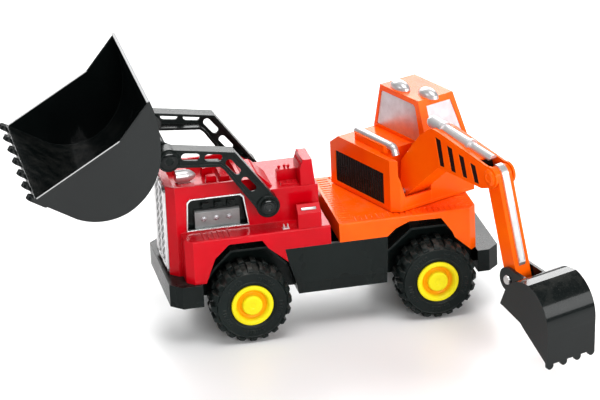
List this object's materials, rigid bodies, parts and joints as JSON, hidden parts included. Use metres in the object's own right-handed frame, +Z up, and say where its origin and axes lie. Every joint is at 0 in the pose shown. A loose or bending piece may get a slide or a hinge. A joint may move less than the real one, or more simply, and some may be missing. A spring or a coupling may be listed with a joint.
{
  "type": "toy backhoe loader",
  "caption": "Toy backhoe loader with a front loader bucket on curved arms, a swivelling cab and a jointed rear digger boom.",
  "frame": {"origin": "centre of the chassis's flat underside, midway between the axles", "axes": "+X forwards towards the loader bucket, +Y to the vehicle's left, +Z up"},
  "size_m": [0.3548, 0.2579, 0.19],
  "materials": {
    "black_plastic": "semi-gloss moulded",
    "gloss_black": "gloss",
    "red_plastic": "gloss",
    "orange_plastic": "gloss",
    "yellow_plastic": "satin gloss",
    "chrome_trim": "vacuum-metallised plastic",
    "tyre_rubber": "soft satin",
    "steel_pins": "drawn",
    "zinc_screws": "zinc plated"
  },
  "bodies": {
    "vehicle": {"chassis": "black_plastic", "front_axle_retainer": "black_plastic", "rear_axle_retainer": "black_plastic", "retainer_screws": "zinc_screws", "front_body": "red_plastic", "engine_window_frame_left": "chrome_trim", "engine_window_frame_right": "chrome_trim", "engine_block": "chrome_trim", "engine_bolts": "chrome_trim", "engine_manifold": "black_plastic", "radiator_grille": "chrome_trim", "air_intake": "chrome_trim", "engine_cover_details": "red_plastic", "cowl": "red_plastic", "seat_back": "red_plastic", "control_desk": "red_plastic", "control_levers": "red_plastic", "switch_panel": "red_plastic", "side_box_left": "red_plastic", "side_box_right": "red_plastic", "loader_pivot_post_left": "black_plastic", "loader_pivot_post_right": "black_plastic", "rear_deck": "orange_plastic", "swivel_cap": "black_plastic", "swivel_screw": "zinc_screws"},
    "front_wheels": {"front_axle": "steel_pins", "front_left_tyre": "tyre_rubber", "front_right_tyre": "tyre_rubber", "front_left_rim": "yellow_plastic", "front_right_rim": "yellow_plastic"},
    "rear_wheels": {"rear_axle": "steel_pins", "rear_left_tyre": "tyre_rubber", "rear_right_tyre": "tyre_rubber", "rear_left_rim": "yellow_plastic", "rear_right_rim": "yellow_plastic"},
    "loader_arms": {"loader_arm_left": "black_plastic", "loader_arm_right": "black_plastic", "bucket_shaft": "black_plastic"},
    "bucket": {"loader_bucket": "gloss_black"},
    "turret": {"turret_floor": "orange_plastic", "turret_housing": "orange_plastic", "turret_grille": "black_plastic", "boom_mount_cover": "orange_plastic", "boom_pin": "steel_pins", "cab": "orange_plastic", "cab_windows": "chrome_trim", "roof_lamps": "chrome_trim", "exhaust_box": "orange_plastic", "exhaust_pipe": "chrome_trim"},
    "boom": {"boom_half_left": "orange_plastic", "boom_half_right": "orange_plastic", "boom_core": "black_plastic", "boom_ram": "chrome_trim", "elbow_pin": "orange_plastic"},
    "dipper": {"stick": "orange_plastic", "stick_strip": "chrome_trim", "hoe_pin": "chrome_trim"},
    "hoe": {"hoe_bucket": "gloss_black"}
  },
  "joints": [
    {"name": "front_axle_spin", "type": "hinge", "parent": "vehicle", "child": "front_wheels", "pos_m": [0.06485, 0, 0.001], "axis": [0, 1, 0], "continuous": true},
    {"name": "rear_axle_spin", "type": "hinge", "parent": "vehicle", "child": "rear_wheels", "pos_m": [-0.06485, 0, 0.001], "axis": [0, 1, 0], "continuous": true},
    {"name": "loader_lift", "type": "hinge", "parent": "vehicle", "child": "loader_arms", "pos_m": [0.0483, 0, 0.0667], "axis": [0, 1, 0], "range_deg": [-8, 40]},
    {"name": "loader_tilt", "type": "hinge", "parent": "loader_arms", "child": "bucket", "pos_m": [0.1141, 0, 0.1081], "axis": [0, 1, 0], "range_deg": [-45, 25]},
    {"name": "turret_swing", "type": "hinge", "parent": "vehicle", "child": "turret", "pos_m": [-0.0475, 0, 0.0487], "axis": [0, 0, 1], "range_deg": [-42, 177]},
    {"name": "boom_lift", "type": "hinge", "parent": "turret", "child": "boom", "pos_m": [-0.05684, 0.02265, 0.0595], "axis": [-0.9245, -0.3811, 0], "range_deg": [-25, 6]},
    {"name": "stick_swing", "type": "hinge", "parent": "boom", "child": "dipper", "pos_m": [-0.09361, 0.11187, 0.0995], "axis": [-0.9245, -0.3811, 0], "range_deg": [-45, 30]},
    {"name": "hoe_curl", "type": "hinge", "parent": "dipper", "child": "hoe", "pos_m": [-0.10085, 0.12944, 0.0328], "axis": [-0.9245, -0.3811, 0], "range_deg": [-30, 45]}
  ]
}
